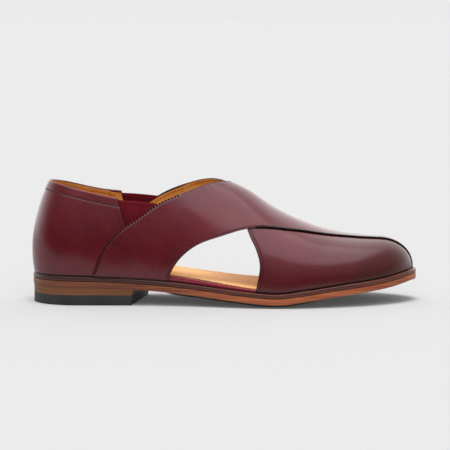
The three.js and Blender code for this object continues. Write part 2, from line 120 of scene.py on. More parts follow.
FEATHER = [
    (0, 0.304, 0.304), (0.08, 0.326, 0.324), (0.16, 0.333, 0.322), (0.27, 0.333, 0.298),
    (0.38, 0.361, 0.287), (0.5, 0.44, 0.339), (0.61, 0.507, 0.43), (0.71, 0.498, 0.474),
    (0.81, 0.432, 0.446), (0.91, 0.338, 0.37), (1, 0.262, 0.29),
]
SEAT = [
    (0, 1, 0), (0.1, 0.976, 0), (0.2, 0.889, 0), (0.3, 0.762, 0),
    (0.4, 0.556, 0), (0.5, 0.286, 0), (0.6, 0.04, 0), (0.65, 0, 0.006),
    (0.7, 0, 0.13), (0.75, 0, 0.262), (0.8, 0, 0.402), (0.85, 0, 0.513),
    (0.9, 0, 0.625), (0.95, 0, 0.778), (1, 0, 1),
]
RIDGE = [
    (0, 1.315), (0.13, 1.275), (0.22, 1.241), (0.35, 1.149), (0.5, 0.992), (0.56, 0.912),
    (0.62, 0.782), (0.7, 0.609), (0.78, 0.465), (0.86, 0.383), (0.94, 0.323), (1, 0.272),
]
SWING = [
    (0, 0, 0), (0.3, 0, 0.022), (0.5, 0, 0.043), (0.7, 0.004, 0.043),
    (0.9, 0.024, 0.046), (1, 0.043, 0.043),
]
SECTION = [
    (0, 0.443, 0.396, 0.248), (0.08, 0.442, 0.42, 0.21), (0.18, 0.44, 0.5, 0.14),
    (0.3, 0.44, 0.55, 0.08), (0.5, 0.5, 0.52, 0.03), (0.75, 0.58, 0.6, 0.02),
    (1, 0.6, 0.6, 0),
]
HEEL_ROUND = (0.118, 2.25)
TOE_ROUND = (0.16, 2.1)
RIDGE_ROUND = (0.085, 2.3)
HEEL_CENTRE = 0.125
HEEL_BLEND = 0.04

lateral_width, medial_width = curves(FEATHER)
heel_seat, toe_seat = curves(SEAT)
ridge_height, = curves(RIDGE)
axis_swing, ridge_swing = curves(SWING)
wall_share, shoulder_share, bulge_share = curves(SECTION)
print("ball width:", round(float((lateral_width(0.68) + medial_width(0.68)) * BALL_WIDTH), 1), "mm")


# %% Places on the last
def along_of(turn):
    return (1 - np.cos(np.pi * turn)) / 2


def turn_of(along):
    return np.arccos(1 - 2 * np.clip(along, 0, 1)) / np.pi


def round_end(rest, power):
    return (1 - np.clip(rest, 0, 1) ** power) ** (1 / power)


def seat_at(along):
    return SEAT_BASE + HEEL_RISE * heel_seat(along) + TOE_SPRING * toe_seat(along)


def seat_under(x):
    return seat_at(np.clip(x / LAST_LENGTH, 0, 1))


def feather_point(along, side):
    """The edge of the last where it meets the sole, on one side"""
    heel = round_end(1 - along / HEEL_ROUND[0], HEEL_ROUND[1])
    toe = round_end((along - 1) / TOE_ROUND[0] + 1, TOE_ROUND[1])
    width = np.where(side < 0, -lateral_width(along), medial_width(along))
    y = (axis_swing(along) + width * heel * toe) * BALL_WIDTH
    return np.stack([LAST_LENGTH * along, y, seat_at(along)], -1)


def ridge_point(along):
    """The top line of the last, which rounds down at the toe"""
    past = along - HEEL_CENTRE
    soft = np.hypot(past, HEEL_BLEND * np.sqrt(np.clip(1 - along, 0, 1)))
    at = np.minimum(HEEL_CENTRE + (past + soft) / 2, 1)
    nose = round_end((at - 1) / RIDGE_ROUND[0] + 1, RIDGE_ROUND[1])
    z = seat_at(at) + INSTEP_HEIGHT * ridge_height(at) * nose
    return np.stack([LAST_LENGTH * at, ridge_swing(at) * BALL_WIDTH, z], -1)


def last_point(turn, across):
    """Turn is 0 at the heel and 1 at the toe. Across is -1 at the lateral edge and 1 at the medial"""
    along = along_of(np.clip(np.abs(turn), 0, 1))
    side = np.where(turn < 0, -across, across)
    foot = feather_point(along, side)
    top = ridge_point(along)
    a = 1 - np.abs(side)
    b = 1 - a
    low = 3 * a * b * b
    high = 3 * a * a * b
    inward = b ** 3 + low * (1 + bulge_share(along)) + high * shoulder_share(along)
    upward = low * wall_share(along) + high + a ** 3
    x = mix(top[..., 0], foot[..., 0], inward)
    y = mix(top[..., 1], foot[..., 1], inward)
    z = mix(foot[..., 2], top[..., 2], upward)
    return np.stack([x, y, z], -1)


NUDGE = 1e-4
GAP = 0.3


def unit(vectors):
    return vectors / np.maximum(np.linalg.norm(vectors, axis=-1, keepdims=True), 1e-12)


def last_normal(turn, across):
    side = np.clip(across, NUDGE - 1, 1 - NUDGE)
    forward = last_point(turn + NUDGE, side) - last_point(turn - NUDGE, side)
    over = last_point(turn, side + NUDGE) - last_point(turn, side - NUDGE)
    normal = unit(np.cross(forward, over))
    return np.where((turn > 1 - NUDGE)[..., None], np.array([1.0, 0.0, 0.0]), normal)


def over_last(turn, across, height, clearance=GAP):
    """A point over the last at a height, never lower than a clearance over the seat"""
    height = np.asarray(height, float)
    point = last_point(turn, across) + last_normal(turn, across) * height[..., None]
    point[..., 2] = np.maximum(point[..., 2], seat_under(point[..., 0]) + clearance)
    return point


toe_point = last_point(np.array(1.0), np.array(0.0))
print("the last's toe is at", np.round(toe_point, 1), "mm")


# %% [markdown]
# ## How a panel is laid on the last
# A leather panel is a flat sheet that is pulled over the last. A flat grid primitive is a good
# start: each of its points is moved to its place on the last, and the Solidify modifier then gives
# the sheet its thickness. Near a panel's edges the grid lines lie close together, so that a turned
# edge, a groove for a seam and a bead can be shaped there, and in the middle they are wider.

# %% Helpers for pieces
def deselect():
    bpy.ops.object.select_all(action="DESELECT")


def start_grid(name, columns, rows):
    """A flat grid, one metre wide, as a start for a sheet"""
    deselect()
    bpy.ops.mesh.primitive_grid_add(x_subdivisions=columns, y_subdivisions=rows, size=1)
    piece = bpy.context.object
    piece.name = name
    piece.data.name = name
    return piece


def grid_steps(piece, columns, rows):
    """The column and row of each point of a grid"""
    flat = np.empty(len(piece.data.vertices) * 3)
    piece.data.vertices.foreach_get("co", flat)
    flat = flat.reshape(-1, 3)
    column = np.rint((flat[:, 0] + 0.5) * columns).astype(int)
    row = np.rint((flat[:, 1] + 0.5) * rows).astype(int)
    return column, row


def set_points(piece, points):
    """Moves the points of a mesh. Places come in millimetres on the last"""
    placed = (points + TO_FRAME) * MM
    piece.data.vertices.foreach_set("co", placed.astype(np.float32).ravel())
    piece.data.update()


def get_points(piece):
    """The points of a mesh, in millimetres on the last"""
    return np.array([vertex.co[:] for vertex in piece.data.vertices]) / MM - TO_FRAME


def set_attribute(piece, name, values):
    layer = piece.data.attributes.new(name, "FLOAT", "POINT")
    layer.data.foreach_set("value", np.asarray(values, np.float32))


def get_attribute(piece, name):
    return np.array([item.value for item in piece.data.attributes[name].data])


def take(piece):
    """Makes a piece the only selected and the active one"""
    deselect()
    piece.select_set(True)
    bpy.context.view_layer.objects.active = piece


def modify(piece, kind, **settings):
    """Adds a modifier and applies it at once"""
    take(piece)
    modifier = piece.modifiers.new(kind.lower(), kind)
    for name, value in settings.items():
        setattr(modifier, name, value)
    bpy.ops.object.modifier_apply(modifier=modifier.name)


def edit_all(piece, operator, **settings):
    """Runs one operator on the whole of a piece in edit mode"""
    take(piece)
    bpy.ops.object.mode_set(mode="EDIT")
    bpy.ops.mesh.select_mode(type="VERT")
    bpy.ops.mesh.select_all(action="SELECT")
    operator(**settings)
    bpy.ops.object.mode_set(mode="OBJECT")


def turn_faces(piece):
    """Turns all faces of a sheet round, so that they point away from the foot"""
    edit_all(piece, bpy.ops.mesh.flip_normals)


def merge_doubles(piece, distance=1e-6):
    edit_all(piece, bpy.ops.mesh.remove_doubles, threshold=distance)


def smooth_faces(piece, degrees=40):
    take(piece)
    bpy.ops.object.shade_smooth_by_angle(angle=math.radians(degrees))


def finish_piece(piece, material, slot, *nodes):
    """A finished piece rides on the shoe, has a material, and may stand for solids. The slot argument is
    not used
    """
    piece.data.materials.append(material)
    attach(piece, "root")
    if nodes:
        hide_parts(*nodes)
    print(piece.name, "has", sum(len(face.vertices) - 2 for face in piece.data.polygons), "triangles")


print("the helpers for pieces are ready")


# %% [markdown]
# ## Node groups for the finishes
# Several materials share the same effects: leather is mottled and has fine grain, and every edge is
# burnished darker by hand. An effect that is used more than once is built once as a node group with
# named inputs, and each material places it with its own values. A group gives colours, masks and
# heights only, and the Principled shader stays in the material.

# %% Helpers for nodes
def fill(tree, node, inputs):
    """Links or sets a node's inputs"""
    for name, value in inputs.items():
        if isinstance(value, bpy.types.NodeSocket):
            tree.links.new(value, node.inputs[name])
        else:
            node.inputs[name].default_value = value


def add(tree, kind, inputs=None, **settings):
    """Adds a node, sets it up, and links or sets its inputs"""
    made = tree.nodes.new(kind)
    for name, value in settings.items():
        setattr(made, name, value)
    fill(tree, made, inputs or {})
    return made


def start_group(name, inputs, outputs):
    """An empty node group, the sockets that it starts from and the node that it ends in"""
    tree = bpy.data.node_groups.new(name, "ShaderNodeTree")
    for socket_name, kind, value in inputs:
        socket = tree.interface.new_socket(socket_name, in_out="INPUT", socket_type=kind)
        socket.default_value = value
    for socket_name, kind in outputs:
        tree.interface.new_socket(socket_name, in_out="OUTPUT", socket_type=kind)
    return tree, tree.nodes.new("NodeGroupInput").outputs, tree.nodes.new("NodeGroupOutput")


def place_group(tree, group, values):
    return add(tree, "ShaderNodeGroup", values, node_tree=group).outputs


def blend_colour(tree, share, a, b):
    return add(tree, "ShaderNodeMix", {0: share, 6: a, 7: b}, data_type="RGBA").outputs[2]


def sums(tree, operation, a, b, limit=False):
    return add(tree, "ShaderNodeMath", {0: a, 1: b}, operation=operation, use_clamp=limit).outputs[0]


def times(tree, a, b, limit=False):
    return sums(tree, "MULTIPLY", a, b, limit)


def spread(tree, value, low, high, to_low=0.0, to_high=1.0):
    """Takes a span of values to another one, softly and without leaving it"""
    return add(tree, "ShaderNodeMapRange", {
        "Value": value, "From Min": low, "From Max": high, "To Min": to_low, "To Max": to_high,
    }, interpolation_type="SMOOTHSTEP").outputs["Result"]


def noise(tree, place, scale, detail):
    return add(tree, "ShaderNodeTexNoise", {
        "Vector": place, "Scale": scale, "Detail": detail}).outputs["Fac"]


def object_place(tree):
    return add(tree, "ShaderNodeTexCoord").outputs["Object"]


def stored(tree, name):
    """A value that is stored on the mesh"""
    return add(tree, "ShaderNodeAttribute", attribute_name=name).outputs["Fac"]


def relief_normal(tree, strength, height_mm, height):
    return add(tree, "ShaderNodeBump", {
        "Strength": strength, "Distance": height_mm * MM, "Height": height}).outputs["Normal"]


def paint(red, green, blue):
    """A colour as a screen shows it, 0 to 255, as the linear values that a shader takes"""
    def linear(value):
        share = value / 255
        return share / 12.92 if share <= 0.04045 else ((share + 0.055) / 1.055) ** 2.4
    return (linear(red), linear(green), linear(blue), 1.0)


print("mid grey in linear values:", round(paint(128, 128, 128)[0], 3))

# %% Mottled and burnished colour
COLOUR = "NodeSocketColor"
FLOAT = "NodeSocketFloat"
aged, aged_in, aged_end = start_group(
    "aged_colour",
    [("Fresh", COLOUR, (1, 1, 1, 1)), ("Deep", COLOUR, (0, 0, 0, 1)), ("Burnt", COLOUR, (0, 0, 0, 1)),
     ("Cloud Scale", FLOAT, 30.0), ("Cloud Depth", FLOAT, 0.6), ("Burnish", FLOAT, 0.0)],
    [("Color", COLOUR)])
aged_place = object_place(aged)
wide_cloud = noise(aged, aged_place, aged_in["Cloud Scale"], 3.0)
small_cloud = noise(aged, aged_place, times(aged, aged_in["Cloud Scale"], 7.0), 4.0)
cloud = sums(aged, "ADD", times(aged, wide_cloud, 0.7), times(aged, small_cloud, 0.3))
depth = times(aged, spread(aged, cloud, 0.38, 0.62), aged_in["Cloud Depth"])
mottled = blend_colour(aged, depth, aged_in["Fresh"], aged_in["Deep"])
uneven = times(aged, aged_in["Burnish"], spread(aged, small_cloud, 0.2, 0.7, 0.8, 1.1), True)
fill(aged, aged_end, {"Color": blend_colour(aged, uneven, mottled, aged_in["Burnt"])})
print("group:", aged.name)

# %% Grain of leather
grain, grain_in, grain_end = start_group(
    "leather_grain",
    [("Grain Scale", FLOAT, 1300.0), ("Pore Depth", FLOAT, 0.4), ("Gloss", FLOAT, 0.35),
     ("Gloss Spread", FLOAT, 0.1)],
    [("Height", FLOAT), ("Roughness", FLOAT)])
grain_place = object_place(grain)
cells = add(grain, "ShaderNodeTexVoronoi", {
    "Vector": grain_place, "Scale": grain_in["Grain Scale"], "Randomness": 0.9},
    feature="SMOOTH_F1").outputs["Distance"]
fibre = noise(grain, grain_place, times(grain, grain_in["Grain Scale"], 0.35), 5.0)
pores = times(grain, cells, grain_in["Pore Depth"])
gloss_change = times(grain, sums(grain, "SUBTRACT", fibre, 0.5), grain_in["Gloss Spread"])
fill(grain, grain_end, {
    "Height": sums(grain, "ADD", pores, times(grain, fibre, 0.5)),
    "Roughness": sums(grain, "ADD", grain_in["Gloss"], gloss_change)})
print("group:", grain.name)


# %% A leather material from the groups
def start_material(name):
    material = bpy.data.materials.new(name)
    material.use_nodes = True
    tree = material.node_tree
    return material, tree, tree.nodes["Principled BSDF"]


# Dark edge wax; the same near-black is also used as painted shade at the upper's foot and beside the
# over strap's front edge
EDGE_WAX_AND_SHADE = paint(24, 10, 12)


def leather(name, colours, cloud, gloss, coat=0.0, coat_gloss=0.2, pores=0.3, relief=0.02,
            grain_scale=1300.0, tint_of_gloss=(1.0, 1.0, 1.0, 1.0)):
    """Leather of three colours, fresh, deep and burnt, with dark wax where its edges are painted, and
    the same near-black as painted shade at the upper's foot and beside the over strap's front edge
    """
    material, tree, shader = start_material(name)
    tint = place_group(tree, aged, {
        "Fresh": colours[0], "Deep": colours[1], "Burnt": colours[2], "Cloud Scale": cloud[0],
        "Cloud Depth": cloud[1], "Burnish": stored(tree, "burnish_and_shade")})
    face = place_group(tree, grain, {
        "Grain Scale": grain_scale, "Pore Depth": pores, "Gloss": gloss[0],
        "Gloss Spread": gloss[1]})
    # Painted shade: where the stored shade is high the leather turns near-black, at the foot of the
    # upper and beside the over strap's edge
    foot_shade = spread(tree, stored(tree, "painted_shade"), 0.80, 0.88)
    painted = sums(tree, "MAXIMUM", stored(tree, "edge_wax_and_shade"), foot_shade)
    fill(tree, shader, {
        "Base Color": blend_colour(tree, painted, tint["Color"], EDGE_WAX_AND_SHADE),
        "Roughness": face["Roughness"],
        "Specular IOR Level": spread(tree, painted, 0.2, 1.0, 0.5, 0.1),
        "Specular Tint": tint_of_gloss,
        "Coat Weight": coat,
        "Coat Roughness": coat_gloss,
        "Normal": relief_normal(tree, 0.5, relief, face["Height"])})
    return material


wine_leather = leather(
    "wine_leather", (paint(90, 9, 20), paint(70, 6, 15), paint(60, 29, 23)), (22.0, 0.6),
    (0.27, 0.08), coat=0.2, coat_gloss=0.12, tint_of_gloss=(1.0, 0.84, 0.95, 1.0))
tan_lining = leather(
    "tan_lining", (paint(214, 150, 72), paint(190, 124, 48), paint(112, 62, 26)), (35.0, 0.8),
    (0.78, 0.2), pores=0.6, relief=0.12, grain_scale=900.0)
tan_sock = leather(
    "tan_sock", (paint(255, 206, 144), paint(238, 180, 112), paint(92, 44, 22)), (26.0, 0.7),
    (0.75, 0.2), pores=0.5, relief=0.1)
board_leather = leather(
    "board_leather", (paint(150, 34, 58), paint(116, 20, 40), paint(50, 12, 18)), (40.0, 0.6),
    (0.3, 0.1), coat=0.4)
print("leather materials are ready")

# %% [markdown]
# ## Edge paint, elastic, sole leather, stacked leather and rubber
# The sole's edges are cut through the leather and polished with wax, so they show thin streaks
# along their length, lighter at the ball and darker at the arch. The heel is a stack of leather
# layers, each a fine line. The elastic is woven with upright ribs. All of these are drawn from the
# Object coordinates or from a value stored on the mesh, so they stay on the piece.

# %% Streaks along the sole
streaks, streaks_in, streaks_end = start_group(
    "sole_streaks",
    [("Light", COLOUR, (1, 1, 1, 1)), ("Dark", COLOUR, (0, 0, 0, 1)), ("Layer Scale", FLOAT, 900.0),
     ("Contrast", FLOAT, 0.6)],
    [("Color", COLOUR), ("Height", FLOAT)])
streak_place = object_place(streaks)
stretched = add(streaks, "ShaderNodeMapping", {
    "Vector": streak_place, "Scale": (18.0, 18.0, 1.0)}).outputs["Vector"]
upright = add(streaks, "ShaderNodeSeparateXYZ", {"Vector": streak_place}).outputs["Z"]
level_place = add(streaks, "ShaderNodeSeparateXYZ", {"Vector": stretched}).outputs
layer_place = add(streaks, "ShaderNodeCombineXYZ", {
    "X": level_place["X"], "Y": level_place["Y"],
    "Z": times(streaks, upright, streaks_in["Layer Scale"])}).outputs["Vector"]
layer_noise = noise(streaks, layer_place, 1.0, 3.0)
layer_share = times(streaks, spread(streaks, layer_noise, 0.35, 0.65), streaks_in["Contrast"])
fill(streaks, streaks_end, {
    "Color": blend_colour(streaks, layer_share, streaks_in["Light"], streaks_in["Dark"]),
    "Height": layer_noise})
print("group:", streaks.name)


# %% Sole materials
# Dark wax towards the heel and arch, and also painted shadow on the outsole's underside
SOLE_WAX_AND_SHADE = paint(38, 20, 16)


def sole_material(name, light, dark, layer_scale, contrast, gloss, shine):
    material, tree, shader = start_material(name)
    lines = place_group(tree, streaks, {
        "Light": light, "Dark": dark, "Layer Scale": layer_scale, "Contrast": contrast})
    fill(tree, shader, {
        "Base Color": blend_colour(tree, stored(tree, "burnish_and_shade"), lines["Color"], SOLE_WAX_AND_SHADE),
        "Roughness": gloss,
        "Specular IOR Level": shine,
        "Normal": relief_normal(tree, 0.4, 0.15, lines["Height"])})
    return material


welt_edge = sole_material("welt_edge", paint(96, 46, 34), paint(62, 27, 21), 700.0, 0.8, 0.34, 0.45)
sole_edge = sole_material("sole_edge", paint(178, 98, 56), paint(128, 60, 32), 1300.0, 0.9, 0.45, 0.5)
heel_stack = sole_material("heel_stack", paint(120, 76, 44), paint(92, 56, 33), 1900.0, 0.7, 0.55, 0.4)

rubber, rubber_tree, rubber_shader = start_material("black_rubber")
rubber_face = place_group(rubber_tree, grain, {
    "Grain Scale": 700.0, "Pore Depth": 0.3, "Gloss": 0.72, "Gloss Spread": 0.2})
rubber_tint = place_group(rubber_tree, aged, {
    "Fresh": paint(47, 46, 46), "Deep": paint(33, 32, 33), "Burnt": paint(20, 20, 20),
    "Cloud Scale": 40.0, "Cloud Depth": 0.8})
fill(rubber_tree, rubber_shader, {
    "Base Color": rubber_tint["Color"],
    "Roughness": rubber_face["Roughness"],
    "Normal": relief_normal(rubber_tree, 0.5, 0.1, rubber_face["Height"])})
print("sole materials are ready")

# %% Elastic and thread
elastic, elastic_tree, elastic_shader = start_material("wine_elastic")
rib_wave = sums(elastic_tree, "SINE", times(elastic_tree, stored(elastic_tree, "rib"), 2 * math.pi), 0.0)
rib_share = spread(elastic_tree, rib_wave, -1.0, 1.0)
weave = noise(elastic_tree, object_place(elastic_tree), 2600.0, 2.0)
elastic_height = sums(elastic_tree, "ADD", rib_share, times(elastic_tree, weave, 0.6))
fill(elastic_tree, elastic_shader, {
    "Base Color": blend_colour(elastic_tree, rib_share, paint(72, 6, 17), paint(116, 13, 30)),
    "Roughness": 0.85,
    "Specular IOR Level": 0.25,
    "Normal": relief_normal(elastic_tree, 0.8, 0.2, elastic_height)})

thread = leather(
    "wine_thread", (paint(122, 14, 34), paint(92, 10, 26), paint(40, 8, 14)), (300.0, 0.7),
    (0.92, 0.1), pores=0.8, relief=0.05, grain_scale=4000.0)
print("elastic and thread are ready")

# %% [markdown]
# ## The straps
# Each strap runs from the heel quarter on one side, over the instep, to the toe on the other. The
# two are nearly mirror images, and the over strap lies on the under strap. A strap's grid has one row of
# points for each step of its way and runs across it from its rear to its front edge. The distances
# from both edges are measured in millimetres on the last, so that the turned edge, the groove of the
# seam and the burnished tone follow the edges everywhere.

# %% Where the straps run
OVER_STRAP = [
    (0, 0.153, -1, 0.355, -1), (0.05, 0.165, -0.92, 0.366, -0.925),
    (0.1, 0.185, -0.83, 0.39, -0.84), (0.16, 0.225, -0.728, 0.435, -0.742),
    (0.22, 0.275, -0.637, 0.485, -0.67), (0.28, 0.325, -0.533, 0.535, -0.592),
    (0.35, 0.38, -0.43, 0.59, -0.492), (0.42, 0.435, -0.3, 0.65, -0.385),
    (0.49, 0.487, -0.125, 0.715, -0.297), (0.55, 0.522, 0.04, 0.78, -0.205),
    (0.61, 0.547, 0.25, 0.845, -0.138), (0.67, 0.564, 0.44, 0.905, -0.115),
    (0.73, 0.58, 0.59, 0.96, -0.1), (0.78, 0.591, 0.66, 0.987, -0.08),
    (0.83, 0.599, 0.725, 1, 0), (0.91, 0.606, 0.83, 1, 0.4),
    (1, 0.598, 1, 1, 1),
]
UNDER_STRAP = [
    (0, 0.153, -1, 0.355, -1), (0.05, 0.165, -0.92, 0.364, -0.92),
    (0.1, 0.185, -0.83, 0.386, -0.825), (0.16, 0.223, -0.728, 0.432, -0.722),
    (0.22, 0.265, -0.635, 0.485, -0.645), (0.28, 0.313, -0.528, 0.537, -0.565),
    (0.35, 0.365, -0.415, 0.592, -0.475), (0.42, 0.418, -0.285, 0.65, -0.41),
    (0.49, 0.47, -0.112, 0.715, -0.37), (0.55, 0.508, 0.06, 0.78, -0.34),
    (0.61, 0.536, 0.27, 0.845, -0.32), (0.67, 0.551, 0.44, 0.905, -0.31),
    (0.73, 0.569, 0.593, 0.96, -0.28), (0.78, 0.58, 0.65, 0.987, -0.2),
    (0.83, 0.589, 0.715, 1, 0), (0.91, 0.595, 0.82, 1, 0.4),
    (1, 0.584, 1, 1, 1),
]
TIP_WAY = 0.83
WALL = 1.8
STRAP_LIFT = 1.3
UNDER_GAP = GAP + 0.2


def strap_place(table, side):
    """A function that takes a way along the strap and an over across it to the last"""
    rear_along, rear_across, front_along, front_across = curves(table)

    def place(way, over):
        front_turn = np.where(way < TIP_WAY, turn_of(front_along(way)), 1.0)
        turn = mix(turn_of(rear_along(way)), front_turn, over)
        across = np.clip(mix(rear_across(way), front_across(way), over), -1, 1)
        return turn, side * across

    return place


def over_lift(turn, across):
    tip = ease(along_of(turn), 0.88, 1)
    alone = ease(across, 0.56, 1) * (1 - tip)
    return STRAP_LIFT * (1 - alone) * (1 - 0.3 * tip)


def under_lift(turn, across):
    return STRAP_LIFT * (1 - ease(along_of(turn), 0.30, 0.42))


over_place = strap_place(OVER_STRAP, 1)
under_place = strap_place(UNDER_STRAP, -1)
middle = over_place(np.array(0.5), np.array(0.5))
print("the over strap's middle is at", np.round(last_point(*middle), 1), "mm")

# %% Lines at set distances from a sheet's edges
FINE = 96
EDGE_LINES = [0, 0.25, 0.6, 1.0, 1.4, 1.7, 2.1, 2.4, 2.7, 3.1, 3.7, 4.4, 5.2, 7.0, 10.0]


def across_lengths(place, ways):
    """Length over the last from a sheet's first edge to each fine step, for each way"""
    steps = np.linspace(0, 1, FINE + 1)
    way, over = np.meshgrid(ways, steps, indexing="ij")
    points = last_point(*place(way, over))
    pieces = np.linalg.norm(np.diff(points, axis=1), axis=2)
    return steps, np.concatenate([np.zeros((len(ways), 1)), np.cumsum(pieces, axis=1)], axis=1)


def edge_spaced(place, ways, first_lines, last_lines, middle_count):
    """For each way, the over values at set distances from both edges and evenly between them"""
    steps, lengths = across_lengths(place, ways)
    overs = []
    for length in lengths:
        total = length[-1]
        start, end = first_lines[-1], total - last_lines[-1]
        between = np.linspace(start, end, middle_count + 2)[1:-1]
        distance = np.concatenate([first_lines, between, total - np.array(last_lines[::-1])])
        overs.append((np.interp(distance, length, steps), distance, total - distance))
    return [np.array(part) for part in zip(*overs)]


test_ways = np.linspace(0, 1, 5)
_, test_lengths = across_lengths(over_place, test_ways)
print("the over strap is", np.round(test_lengths[:, -1]), "mm wide along its way")


# %% [markdown]
# The face of a strap isn't flat at its edges. The edge is skived and turned, so it rounds over in
# the last millimetre, and the thread pulls the leather down into a groove, further from the edge
# where a cut-out is open. The leather also rises and falls very slightly over its whole face, which
# breaks up the reflections as on real leather.

# %% A leather panel
LEATHER = 1.15
SHADED_HEIGHT = 10


def groove(distance, at, depth=0.22, width=0.45):
    return -depth * bump(distance, at, width)


def turned_edge(distance, depth=0.45, width=0.9):
    """Rounds over towards the edge"""
    return -depth * np.clip(1 - distance / width, 0, 1) ** 2


def waves(points):
    """A slow unevenness of the leather in millimetres"""
    x, y, z = points[..., 0], points[..., 1], points[..., 2]
    first = np.sin(x * 0.115 + 1.3) * np.sin(z * 0.16 + y * 0.07)
    second = np.sin(x * 0.31 + z * 0.22 + 0.7) * np.sin(y * 0.19 - z * 0.13)
    return 0.11 * first + 0.05 * second


def panel(name, place, lift, ways, spaced, profile, clearance):
    """A leather panel over the last, with the distances of its points from edges and from the seat"""
    overs, first, last = spaced
    columns, rows = len(ways) - 1, overs.shape[1] - 1
    piece = start_grid(name, columns, rows)
    column, row = grid_steps(piece, columns, rows)
    way, near_first, near_last = ways[column], first[column, row], last[column, row]
    turn, across = place(way, overs[column, row])
    base = last_point(turn, across)
    height = lift(turn, across) + WALL + profile(way, near_first, near_last) + waves(base)
    set_points(piece, over_last(turn, across, height, clearance))
    return piece, way, near_first, near_last, base, base[:, 2] - seat_under(base[:, 0])


def thicken(piece, thickness, soften=0.3):
    """Gives a sheet its wall towards the inside, and breaks the rim's sharp edges"""
    modify(piece, "SOLIDIFY", thickness=thickness * MM, offset=-1.0)
    modify(piece, "BEVEL", width=soften * MM, segments=2, limit_method="ANGLE",
           angle_limit=math.radians(55), use_clamp_overlap=True)
    smooth_faces(piece, 45)


print("leather is", LEATHER, "mm thick in a wall of", WALL, "mm")

# %% The straps' faces and shading
STRAP_STEPS = 220
CROSSING_WAY = 0.34
TOE_BURNISH = (205, 275)
OPEN_SEAM = 2.1
CUT_OUT_SEAM = 2.4
strap_ways = np.linspace(0, 1, STRAP_STEPS + 1)


def open_front(way):
    """1 where the front edge borders the cut-out, 0 where it lies on the other strap"""
    return 1 - ease(way, CROSSING_WAY, 0.385)


def strap_profile(way, near_rear, near_front):
    closed = turned_edge(near_rear, 0.7, 3.6) + groove(near_rear, 1.7, 0.25, 0.6)
    rear = mix(closed, groove(near_rear, CUT_OUT_SEAM), ease(way, 0.50, 0.56))
    front = open_front(way) * groove(near_front, OPEN_SEAM)
    return rear + front + turned_edge(near_rear) + turned_edge(near_front, 0.3, 0.7)


def under_front_edge(spot):
    """How near a point is to the over strap's front edge, for the painted shadow that it casts on the
    under strap: 1 at it
    """
    ways = np.linspace(CROSSING_WAY, TIP_WAY, 200)
    edge = last_point(*over_place(ways, np.ones_like(ways)))
    edge_y = np.interp(spot[:, 0], edge[:, 0], edge[:, 1])
    edge_z = np.interp(spot[:, 0], edge[:, 0], edge[:, 2])
    away = np.hypot(spot[:, 1] - edge_y, spot[:, 2] - edge_z)
    beyond = np.where(spot[:, 1] < edge_y, away, 0) + 0.6
    return np.where(spot[:, 0] > edge[0, 0], np.clip(1 - beyond / SHADED_HEIGHT, 0, 1), 0)


def strap_edge_wax_and_shade(way, rear, front):
    """Dark wax on the cut edges, and faintly along the rows of thread. Past the crossing the front band
    also reaches onto the face as painted shade of the edge's step
    """
    crossing = ease(way, 0.33, 0.37)
    # Past the crossing the front band is black edge wax and, up to 4.2 mm in, painted shade of the
    # edge's step
    front_wax_and_shade = 1 - ease(front, mix(0.35, 1.6, crossing), mix(0.6, 4.2, crossing))
    cut_out = ease(way, 0.52, 0.58)
    topline = ease(way, 0.33, 0.38) * (1 - cut_out)
    rear_paint = (1 - ease(rear, 0.3, 0.6)) * mix(1.0, 0.35, topline)
    rows = cut_out * (0.5 * bump(rear, 1.0, 0.3) + 0.45 * bump(rear, CUT_OUT_SEAM, 0.4))
    rows = rows + 0.5 * open_front(way) * bump(front, OPEN_SEAM, 0.4)
    return np.clip(np.maximum(np.maximum(front_wax_and_shade, rear_paint), rows), 0, 1)


def build_strap(name, place, lift, clearance, under=False):
    spaced = edge_spaced(place, strap_ways, EDGE_LINES, EDGE_LINES, 22)
    piece, way, rear, front, base, over_seat = panel(
        name, place, lift, strap_ways, spaced, strap_profile, clearance)
    # Painted shade: near-black at the foot of the upper and, on the under strap, beside the over strap's
    # front edge
    shaded = np.clip(1 - over_seat / SHADED_HEIGHT, 0, 1)
    if under:
        shaded = np.maximum(shaded, under_front_edge(base))
    else:
        turn_faces(piece)
    tone = 0.45 * np.exp(-np.minimum(rear, front) / 5.0) + 0.6 * ease(base[:, 0], *TOE_BURNISH)
    tone = tone + 0.2 * (1 - ease(over_seat, 2, 14))
    set_attribute(piece, "painted_shade", shaded)
    set_attribute(piece, "burnish_and_shade", np.clip(tone, 0, 1))
    set_attribute(piece, "edge_wax_and_shade", strap_edge_wax_and_shade(way, rear, front))
    merge_doubles(piece)
    thicken(piece, LEATHER)
    return piece


over_strap = build_strap("over_strap", over_place, over_lift, GAP)
under_strap = build_strap("under_strap", under_place, under_lift, UNDER_GAP, under=True)
finish_piece(over_strap, wine_leather, "wine_leather", "upper")
finish_piece(under_strap, wine_leather, "wine_leather", "upper")

# %% [markdown]
# ## The quarter
# The quarter wraps the heel in one piece from under one strap to under the other. Its top edge is
# the collar, where a strip of leather is folded over and sewn down, so the top six and a half
# millimetres stand a little proud and end in a row of stitches.

# %% Where the quarter lies
COLLAR = [
    (0, 0.458, 0.458), (0.04, 0.471, 0.473), (0.11, 0.5, 0.502), (0.17, 0.523, 0.519),
    (0.225, 0.535, 0.518), (0.28, 0.54, 0.518),
]
QUARTER_END = [(0.00, 0.285), (0.35, 0.268), (0.70, 0.240), (1.00, 0.222)]
BAND_STEP = 0.4
BAND_HEIGHT = 6.6
collar_lateral, collar_medial = curves(COLLAR)
quarter_end, = curves(QUARTER_END)


def quarter_place(way, down):
    """Way runs round the heel from the medial to the lateral side, and down from the collar"""
    turn = mix(-1, 1, way) * turn_of(quarter_end(1 - down))
    along = along_of(np.abs(turn))
    collar = np.where(turn > 0, collar_lateral(along), collar_medial(along))
    return turn, -mix(1, collar, 1 - down)


